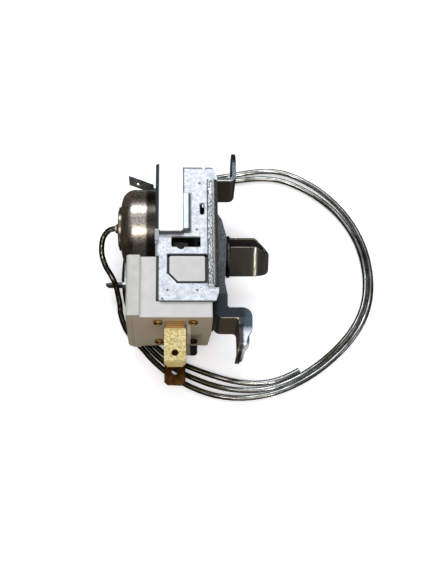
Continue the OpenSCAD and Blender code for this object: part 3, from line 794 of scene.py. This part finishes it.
@dataclass(frozen=True)
class Dent:
    """A soft dent in a round loop.

    Attributes:
        middle: Angle where it is deepest, in degrees.
        before: How far it reaches before that angle.
        after: How far it reaches after it.
        depth: Its depth in mm.
    """

    middle: float
    before: float
    after: float
    depth: float

    def depth_at(self, angle: float) -> float:
        """Gives the dent's depth at an angle of the loop."""
        off = (angle - self.middle + 180) % 360 - 180
        reach = self.before if off < 0 else self.after
        return self.depth * math.cos(math.radians(90 * off / reach)) ** 2 if abs(off) < reach else 0.0


@dataclass
class Capillary:
    """The sensing tube: a lead from the ferrule, then turns that lie flat.

    Attributes:
        diameter: Outer diameter.
        centre: Middle of the loop.
        radius: Radius of the outermost turn.
        pitch: How far each turn lies inside the last.
        angles: First and last angle of the loop, in degrees.
        step_at: Angle where the tube steps in to the next turn, in degrees.
        step_over: How many degrees the step takes.
        steps: Number of stretches that the loop is drawn with.
        level: Height of the loop's centreline.
        shared_dents: Places where every turn runs further in.
        inner_dents: Places where only the inner turns do, more with each turn.
        lead_bulge: Place where the outermost turn swells towards the lead.
        lead: Route from the ferrule down to the loop.
    """

    diameter: float = 1.7
    centre: tuple[float, float] = LOOP_CENTRE
    radius: float = 40.3
    pitch: float = 1.75
    angles: tuple[float, float] = (197.0, 1017.0)
    step_at: float = 141.0
    step_over: float = 36.0
    steps: int = 210
    level: float = -15.05
    shared_dents: tuple[Dent, ...] = (Dent(308, 58, 45, 2.2), Dent(100, 34, 35, 3.5))
    inner_dents: tuple[Dent, ...] = (Dent(70, 55, 40, 1.3), Dent(250, 36, 38, 1.2))
    lead_bulge: Dent = Dent(204, 24, 14, 1.3)
    lead: list[Point] = field(
        default_factory=lambda: [
            (-31, 9.35, 0),
            (-31.7, 9.35, 0),
            (-33.5, 8.7, -0.6),
            (-35, 6.6, -2),
            (-35.3, 3, -4),
            (-34.2, -0.5, -5.6),
            (-32.4, -3.4, -6.6),
            (-31.1, -5.8, -8.0),
            (-30.4, -8.1, -11.3),
            (-29.9, -10.4, -14.1),
        ]
    )

    @staticmethod
    def eased(share: float) -> float:
        """Turns a share from 0 to 1 into one that starts and ends gently."""
        s = min(1.0, max(0.0, share))
        return s * s * (3 - 2 * s)

    def loop_radius(self, angle: float) -> float:
        """Gives the loop's radius at an angle counted from the start in degrees."""
        since = angle - self.step_at
        turns = math.floor(since / 360) - 1 + self.eased((since % 360) / self.step_over)
        shared = sum(dent.depth_at(angle) for dent in self.shared_dents)
        inner = turns * sum(dent.depth_at(angle) for dent in self.inner_dents)
        bulge = self.lead_bulge.depth_at(angle) if angle < 360 else 0.0
        return self.radius - self.pitch * turns - shared - inner + bulge

    def route(self) -> list[Vector]:
        """Gives the points of the whole centreline, in metres."""
        first, last = self.angles
        points = [Vector(p) for p in self.lead]
        for i in range(self.steps + 1):
            angle = first + (last - first) * i / self.steps
            r = self.loop_radius(angle)
            a = math.radians(angle)
            points.append(
                Vector((self.centre[0] + r * math.cos(a), self.centre[1] + r * math.sin(a), self.level))
            )
        return [p * MM for p in self.smoothed(points, len(self.lead))]

    @staticmethod
    def smoothed(points: list[Vector], count: int) -> list[Vector]:
        """Rounds the first stretch of a route with a curve through its points.

        Args:
            points: The route.
            count: How many points at its start stand far apart.

        Returns:
            A longer list of points that passes through the same places.
        """
        made: list[Vector] = []
        for i in range(count):
            a, b, c, d = (points[max(0, i - 1)], points[i], points[i + 1], points[i + 2])
            for k in range(6):
                t = k / 6
                made.append(
                    0.5
                    * (
                        2 * b
                        + (c - a) * t
                        + (2 * a - 5 * b + 4 * c - d) * t * t
                        + (3 * b - a - 3 * c + d) * t**3
                    )
                )
        return made + points[count:]

    def build(self) -> Pieces:
        points = self.route()
        curve = bpy.data.curves.new("capillary", "CURVE")
        curve.dimensions = "3D"
        spline = curve.splines.new("POLY")
        spline.points.add(len(points) - 1)
        for spot, point in zip(spline.points, points):
            spot.co = (*point, 1.0)
        curve.bevel_depth = self.diameter / 2 * MM
        curve.bevel_resolution = 6
        curve.use_fill_caps = True
        piece = bpy.data.objects.new("capillary", curve)
        bpy.context.scene.collection.objects.link(piece)
        curve.materials.append(TUBE_METAL.material())
        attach(piece, "frame")
        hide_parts("capillary_tube")
        return [piece]


# Sub-assemblies


@dataclass
class PowerElement:
    """The cup with its cap, ferrule, diaphragm and the clip for the tube.

    Attributes:
        seat_x: Where the cup's rim stands on the frame.
        axis_y: Height of the cup's axis.
        radius: Outer radius.
        wall: Thickness of the cup.
        straight: Depth to the sharp corner that the shoulder rounds off.
        cone: Further depth of the coned back.
        back_radius: Radius of the flat middle of the back.
        hole_radius: Radius of the hole for the ferrule.
        shoulder: How much of the corner's sides the shoulder takes.
        clip_edge: Width of the clip's broken edges.
    """

    seat_x: float = -18.5
    axis_y: float = 9.35
    radius: float = 12.0
    wall: float = 0.7
    straight: float = 9.5
    cone: float = 1.1
    back_radius: float = 7.2
    hole_radius: float = 1.3
    shoulder: float = 3.1
    clip_edge: float = 0.12

    def build(self) -> Pieces:
        """Makes the cup and dresses the power element's other pieces."""
        return [
            self.cup(),
            softened("cup_cap", NICKEL, 0.0),
            softened("ferrule", SOLDER, 0.0),
            dress("diaphragm", BRONZE),
            softened("capillary_clip", CLIP_STEEL, self.clip_edge),
        ]

    def cup(self) -> Piece:
        """Shapes the cup from a cylinder: coned back, round shoulder, thin wall."""
        corner_x = (self.seat_x - self.straight) * MM
        back_x = corner_x - self.cone * MM
        axis = Vector((0.0, self.axis_y * MM, 0.0))
        bpy.ops.object.select_all(action="DESELECT")
        bpy.ops.mesh.primitive_cylinder_add(
            vertices=96,
            radius=self.radius * MM,
            depth=self.straight * MM,
            location=((self.seat_x - self.straight / 2) * MM, axis.y, 0.0),
            rotation=(0.0, -math.pi / 2, 0.0),
        )
        piece = bpy.context.active_object
        piece.name = "cup"
        bpy.ops.object.transform_apply(location=True, rotation=True, scale=True)
        pick_faces(piece, lambda middle, normal: normal.x < -0.9)
        bpy.ops.mesh.extrude_region_move(TRANSFORM_OT_translate={"value": (-self.cone * MM, 0.0, 0.0)})
        shrink = self.back_radius / self.radius
        bpy.ops.transform.resize(value=(1.0, shrink, shrink), center_override=(back_x, axis.y, axis.z))
        bpy.ops.mesh.inset(thickness=(self.back_radius - self.hole_radius) * MM)
        bpy.ops.mesh.delete(type="FACE")
        bpy.ops.object.mode_set(mode="OBJECT")
        pick_faces(piece, lambda middle, normal: normal.x > 0.9)
        bpy.ops.mesh.delete(type="FACE")
        bpy.ops.object.mode_set(mode="OBJECT")
        for x, radius, offset, segments in (
            (corner_x, self.radius, self.shoulder, 12),
            (back_x, self.back_radius, 0.4, 3),
        ):
            pick_edges(
                piece,
                lambda a, b: all(
                    abs(end.x - x) < 10 * NEAR
                    and abs((end - axis).yz.length - radius * MM) < 10 * NEAR
                    for end in (a, b)
                ),
            )
            bpy.ops.mesh.bevel(offset=offset * MM, segments=segments, affect="EDGES")
            bpy.ops.object.mode_set(mode="OBJECT")
        shell = piece.modifiers.new("wall", "SOLIDIFY")
        shell.thickness, shell.offset = self.wall * MM, -1.0
        apply_modifiers(piece)
        bpy.ops.object.shade_smooth_by_angle(angle=math.radians(SHARP_DEG))
        piece.data.materials.append(NICKEL.material())
        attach(piece, "frame")
        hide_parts("power_cup")
        return piece


@dataclass
class FrameGroup:
    """The folded frame with what is fixed to its walls.

    Attributes:
        sheet_edge: Width of the broken edges of sheet.
        cover_edge: The same of the white cover.
        strip_edge: The same of the pale strip.
    """

    sheet_edge: float = 0.12
    cover_edge: float = 0.3
    strip_edge: float = 0.25

    def build(self) -> Pieces:
        """Dresses the frame's pieces."""
        return [
            softened("main_frame", ZINC, self.sheet_edge),
            softened("ground_tab", TAB_STEEL, self.sheet_edge),
            softened("spring_cover", WHITE_COVER, self.cover_edge),
            softened("cover_clip", PALE_STRIP, self.strip_edge),
            *(dress(node, SHADE_DARK_STEEL) for node in ("lever_pin", "follower_pin")),
        ]


@dataclass
class FrontPlate:
    """The front plate with its ears.

    Attributes:
        edge: Width of its broken edges.
        bend: How much of each side the channel's bends take.
        tip: How much the screw ear's end is rounded over.
        half_width: Half of the width of the channel and the ears.
        back_x: Back face of the plate.
        channel_top: Where the channel's bends end on the plate.
        fold_in: Middle and radius of the fold from the plate to the shelf, in X and Y.
        fold_out: Middle and radius of the fold from the shelf to the tongue.
        shelf_y: Under face of the shelf.
        tongue_x: Back face of the tongue.
        tongue_end: Where its bends end.
        ear_faces: X of the screw ear's two faces.
        ear_y: Middle of its round end.
        slack: How far past the end of a bend a corner may lie.
        close: How near to a bend's line a corner must be.
    """

    edge: float = 0.15
    bend: float = 0.8
    tip: float = 0.5
    half_width: float = 7.25
    back_x: float = -1.2
    channel_top: float = -15.2
    fold_in: Point = (1.2, -20.1, 2.4)
    fold_out: Point = (4.65, -23.7, 1.2)
    shelf_y: float = -22.5
    tongue_x: float = 5.85
    tongue_end: float = -30.2
    ear_faces: tuple[float, float] = (4.95, 6.15)
    ear_y: float = 27.55
    slack: float = 0.1
    close: float = 0.03

    def on_bend(self, place: Vector) -> bool:
        """Tells whether a place in mm is on the bend between the strip and one of its sides."""
        x, y, z = place
        if abs(abs(z) - self.half_width) > self.close:
            return False
        in_x, in_y, in_r = self.fold_in
        out_x, out_y, out_r = self.fold_out
        upright = abs(x - self.back_x) < self.close and in_y - self.slack < y < self.channel_top
        round_in = abs(math.hypot(x - in_x, y - in_y) - in_r) < self.close
        first = round_in and x < in_x + self.slack and y < in_y + self.slack
        shelf = abs(y - self.shelf_y) < self.close and in_x - self.slack < x < out_x + self.slack
        round_out = abs(math.hypot(x - out_x, y - out_y) - out_r) < self.close
        second = round_out and x > out_x - self.slack and y > out_y - self.slack
        tongue = abs(x - self.tongue_x) < self.close and self.tongue_end < y < out_y + self.slack
        return upright or first or shelf or second or tongue

    def on_tip(self, place: Vector) -> bool:
        """Tells whether a place in mm is on the screw ear's rounded end."""
        x, y, z = place
        on_face = min(abs(x - face) for face in self.ear_faces) < self.close
        on_round = abs(math.hypot(y - self.ear_y, z) - self.half_width) < self.slack
        return on_face and on_round and y > self.ear_y + self.close

    def build(self) -> Pieces:
        """Dresses the plate and rounds its bends."""
        rounds = (Rounding(self.on_bend, self.bend, 4), Rounding(self.on_tip, self.tip))
        return [softened("front_plate", PLATE_STEEL, self.edge, rounds)]


@dataclass
class Spindle:
    """The shaft, its hub and the cam on it.

    Attributes:
        base: Where the folded strip stands on the collar.
        reach: Its far end.
        span: Distance between its leaves' outer faces.
        width: Width of the strip.
        sheet: Its thickness.
        nose: Length of the fold.
        turned: How far the shaft is turned from upright, in degrees.
        leaf_edge: Width of its broken edges.
        hub_edge: Width of the hub's broken edges.
        sharp: Bends sharper than this, in degrees, count as its edges.
        cuts: For each cut corner, a point and the direction that is cut away, both in X and width.
    """

    base: float = 3.95
    reach: float = 16.0
    span: float = 8.2
    width: float = 9.7
    sheet: float = 0.9
    nose: float = 5.6
    turned: float = 45.0
    leaf_edge: float = 0.24
    hub_edge: float = 0.2
    sharp: float = 40.0
    cuts: tuple[tuple[tuple[float, float], tuple[float, float]], ...] = (
        ((11.8, 4.85), (2.7, 4.1)),
        ((14.9, 2.81), (1.41, 1.2)),
        ((15.0, -4.85), (1.0, -1.0)),
    )

    def build(self) -> Pieces:
        """Makes the folded strip and dresses the other pieces."""
        return [
            self.strip(),
            softened("shaft_hub", HUB_STEEL, self.hub_edge),
            dress("shaft_ring", SPRING_STEEL),
            softened("cam", SINTERED, 0.0),
            dress("cam_rivet", SPRING_STEEL),
        ]

    def strip(self) -> Piece:
        """Folds the strip: one leaf, the fold spun from its end, the other leaf, then the cuts."""
        middle = (self.span - self.sheet) / 2 * MM
        start, fold = self.base * MM, (self.reach - self.nose) * MM
        bpy.ops.object.select_all(action="DESELECT")
        bpy.ops.mesh.primitive_plane_add(
            size=1.0, location=((start + fold) / 2, -middle, 0.0), rotation=(math.pi / 2, 0.0, 0.0)
        )
        piece = bpy.context.active_object
        piece.name = "folded_shaft"
        piece.scale = (fold - start, self.width * MM, 1.0)
        bpy.ops.object.transform_apply(location=True, rotation=True, scale=True)
        pick_edges(piece, lambda a, b: all(abs(end.x - fold) < NEAR for end in (a, b)))
        # A negative angle turns the fold outwards
        bpy.ops.mesh.spin(steps=24, angle=-math.pi, center=(fold, 0.0, 0.0), axis=(0.0, 0.0, 1.0))
        bpy.ops.object.mode_set(mode="OBJECT")
        if max(v.co.x for v in piece.data.vertices) < fold + middle / 2:
            raise RuntimeError("the fold was spun the wrong way")
        pick_edges(piece, lambda a, b: all(abs(e.x - fold) < NEAR and e.y > middle / 2 for e in (a, b)))
        bpy.ops.mesh.extrude_region_move(TRANSFORM_OT_translate={"value": (start - fold, 0.0, 0.0)})
        bpy.ops.object.mode_set(mode="OBJECT")
        stretch = (self.nose - self.sheet / 2) * MM / middle
        pick_edges(piece, lambda a, b: min(a.x, b.x) > fold - NEAR and max(a.x, b.x) > fold + NEAR)
        bpy.ops.transform.resize(value=(stretch, 1.0, 1.0), center_override=(fold, 0.0, 0.0))
        for (x, w), (away_x, away_w) in self.cuts:
            bpy.ops.mesh.select_all(action="SELECT")
            bpy.ops.mesh.bisect(
                plane_co=(x * MM, 0.0, w * MM), plane_no=(away_x, 0.0, away_w), clear_outer=True
            )
        bpy.ops.mesh.select_all(action="SELECT")
        bpy.ops.mesh.normals_make_consistent(inside=False)
        bpy.ops.object.mode_set(mode="OBJECT")
        piece.rotation_euler.x = -math.radians(self.turned)
        only(piece)
        bpy.ops.object.transform_apply(location=True, rotation=True, scale=True)
        sheet = piece.modifiers.new("sheet", "SOLIDIFY")
        sheet.thickness, sheet.offset, sheet.use_even_offset = self.sheet * MM, 0.0, True
        add_edges(piece, self.leaf_edge, self.sharp)
        apply_modifiers(piece)
        bpy.ops.object.shade_smooth_by_angle(angle=math.radians(self.sharp))
        flatten(piece)
        piece.data.materials.append(SHAFT_STEEL.material())
        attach(piece, "shaft")
        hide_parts("control_shaft")
        return piece


@dataclass
class RangeGear:
    """The follower, the range spring and the main lever.

    Attributes:
        edge: Width of their broken edges.
    """

    edge: float = 0.1

    def build(self) -> Pieces:
        """Dresses the levers, the screw with its nut, the spring and the pad."""
        nodes = ("cam_follower", "main_lever", "range_screw", "range_nut")
        made = [softened(node, SHADE_DARK_STEEL, self.edge) for node in nodes]
        return [*made, self.spring(), dress("pressure_pad", CREAM)]

    def spring(self) -> Piece:
        """Dresses the range spring and gives it a mesh of its own. The main lever squeezes the spring
        against its nut.
        """
        piece = softened("range_spring", SHADE_DARK_STEEL, 0.0)
        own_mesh(piece)
        return piece


@dataclass
class SnapSwitch:
    """The switch housing with its blades and contacts.

    Attributes:
        body_edge: Width of the broken edges of the two mouldings.
        blade_edge: The same of the blades.
        eyelet_edge: The same of the eyelets.
    """

    body_edge: float = 0.25
    blade_edge: float = 0.12
    eyelet_edge: float = 0.15

    def build(self) -> Pieces:
        """Dresses the switch's pieces."""
        return [
            softened("switch_base", HOUSING, self.body_edge),
            softened("switch_cover", REAR_COVER, self.body_edge),
            softened("terminal_near", BRASS, self.blade_edge),
            softened("terminal_far", SHADED_BRASS, self.blade_edge),
            softened("terminal_eyelets", EYELET_BRASS, self.eyelet_edge),
            dress("contact_blade", BRONZE),
            *(dress(node, SILVER) for node in ("moving_contact", "fixed_contact")),
            dress("toggle_spring", SPRING_STEEL),
            dress("push_pin", CREAM),
        ]


# Studio


@dataclass
class Studio:
    """Floor, lights and the camera at the photographer's place.

    Attributes:
        eye: The camera's place in mm.
        right: The camera's rightward direction.
        up: The camera's upward direction.
        lens: Focal length in mm for a 36 mm sensor.
        floor: Height of the lowest turn's under side in mm.
        gap: How far below that the paper lies, in mm.
        paper: Side of the paper in metres.
        paper_glow: Light that the paper adds, which thins the shadows on it.
    """

    eye: Point = (-12.88, -125.37, 284.66)
    right: Point = (0.9991, -0.0138, 0.0391)
    up: Point = (-0.0019, 0.9272, 0.3745)
    lens: float = 63.5
    floor: float = -15.9
    gap: float = 0.2
    paper: float = 6.0
    paper_glow: float = 0.3

    def camera(self) -> None:
        """Sets the camera up."""
        data = bpy.data.cameras.new("camera")
        data.lens = self.lens
        data.sensor_width = 36.0
        data.clip_start, data.clip_end = 0.01, 20.0  # metres
        obj = bpy.data.objects.new("camera", data)
        bpy.context.scene.collection.objects.link(obj)
        right, up = Vector(self.right).normalized(), Vector(self.up)
        back = right.cross(up).normalized()
        up = back.cross(right)
        turned = Matrix((right, up, back)).transposed().to_4x4()
        obj.matrix_world = Matrix.Translation(Vector(self.eye) * MM) @ turned
        bpy.context.scene.camera = obj

    def backdrop(self) -> None:
        """Lays the white paper, which throws back a dimmer and warmer light, as a table would."""
        bpy.ops.object.select_all(action="DESELECT")
        bpy.ops.mesh.primitive_plane_add(size=self.paper, location=(0, 0, (self.floor - self.gap) * MM))
        floor = bpy.context.active_object
        floor.name = "floor"
        made = bpy.data.materials.new("white_paper")
        made.use_nodes = True
        tree = made.node_tree
        tree.nodes.clear()
        ray = add_node(tree, "LightPath")
        bounce = add_node(
            tree,
            "Mix",
            {0: ray.outputs["Is Glossy Ray"], 6: linear("#B5AB9E"), 7: linear("#5E564C")},
            data_type="RGBA",
        )
        paper = add_node(tree, "BsdfDiffuse", {"Color": linear("#F4F4F4")})
        glow = add_node(tree, "Emission", {"Color": linear("#FFFFFF"), "Strength": self.paper_glow})
        white = add_node(tree, "AddShader", {0: paper, 1: glow})
        table = add_node(tree, "BsdfDiffuse", {"Color": bounce.outputs[2]})
        seen = add_node(tree, "MixShader", {0: ray.outputs["Is Camera Ray"], 1: table, 2: white})
        end = add_node(tree, "OutputMaterial")
        tree.links.new(seen.outputs[0], end.inputs["Surface"])
        floor.data.materials.append(made)

    def lamp(
        self, name: str, place: Point, size: tuple[float, float], power: float, tint: str
    ) -> None:
        """Hangs an oblong soft light that faces the object, its first side parallel to X.

        Args:
            name: The light's name.
            place: Its place in metres.
            size: Its sides in metres.
            power: Its power in watts.
            tint: Its colour.
        """
        data = bpy.data.lights.new(name, "AREA")
        data.shape, data.energy = "RECTANGLE", power
        data.size, data.size_y = size
        data.color = linear(tint)[:3]
        obj = bpy.data.objects.new(name, data)
        bpy.context.scene.collection.objects.link(obj)
        back = Vector(place).normalized()
        side = Vector((1.0, 0.0, 0.0))
        side = (side - back * side.dot(back)).normalized()
        turned = Matrix((side, back.cross(side), back)).transposed().to_4x4()
        obj.matrix_world = Matrix.Translation(place) @ turned

    def lights(self) -> None:
        """Hangs a wide cool light behind the zenith, a wide warm one before it and three low ones.

        The narrow one is placed so that the shaft's fold reflects it as a line.
        """
        self.lamp("upper", (-0.12, 0.58, 0.8), (0.8, 0.3), 4.4, "#F6F9FF")
        self.lamp("front", (-0.08, -0.5, 0.86), (0.6, 0.26), 3.0, "#FFF7EE")
        self.lamp("low_warm", (0.04, -0.95, 0.1), (0.16, 0.16), 0.5, "#FFEBD8")
        self.lamp("low_narrow", (0.36, -0.83, 0.42), (0.05, 0.3), 1.3, "#FFF6F0")
        self.lamp("low_cool", (0.75, -0.25, 0.3), (0.2, 0.2), 0.7, "#E2EEFF")

    def room(self) -> None:
        """Gives the room a bright ceiling and dim walls, and darker ones for the metals to reflect."""
        world = bpy.data.worlds.new("room")
        world.use_nodes = True
        tree = world.node_tree
        tree.nodes.clear()
        place = add_node(tree, "TexCoord").outputs["Generated"]
        parts = add_node(tree, "SeparateXYZ", {0: place})
        ceiling = add_node(
            tree,
            "ValToRGB",
            {0: parts.outputs["Z"]},
            stops=[
                (0.0, linear("#4A443E")),
                (0.3, linear("#5C5A58")),
                (0.62, linear("#A9AEB6")),
                (0.88, linear("#F1F4FA")),
            ],
        )
        mirrored = add_node(
            tree,
            "ValToRGB",
            {0: parts.outputs["Z"]},
            stops=[
                (0.0, linear("#35302A")),
                (0.45, linear("#4A4640")),
                (0.72, linear("#767B7F")),
                (0.95, linear("#C4CAD2")),
            ],
        )
        ray = add_node(tree, "LightPath")
        lit = add_node(
            tree, "Mix", {0: ray.outputs["Is Glossy Ray"], 6: ceiling, 7: mirrored}, data_type="RGBA"
        )
        seen = add_node(
            tree,
            "Mix",
            {0: ray.outputs["Is Camera Ray"], 6: lit.outputs[2], 7: linear("#F7F7F7")},
            data_type="RGBA",
        )
        glow = add_node(tree, "Background", {"Color": seen.outputs[2], "Strength": 1.0})
        end = add_node(tree, "OutputWorld")
        tree.links.new(glow.outputs[0], end.inputs["Surface"])
        bpy.context.scene.world = world

    def build(self) -> None:
        """Sets up everything around the object."""
        self.camera()
        self.backdrop()
        self.lights()
        self.room()
        bpy.context.scene.view_settings.view_transform = "Standard"


def main() -> None:
    """Builds the scene and reports each piece of it."""
    logging.basicConfig(level=logging.INFO, format="%(message)s")
    Studio().build()
    groups = (
        Capillary(), PowerElement(), FrameGroup(), FrontPlate(), Spindle(), RangeGear(), SnapSwitch()
    )
    for group in groups:
        for piece in group.build():
            LOG.info("%s: %s", type(group).__name__, piece.name)


if __name__ == "__main__":
    main()
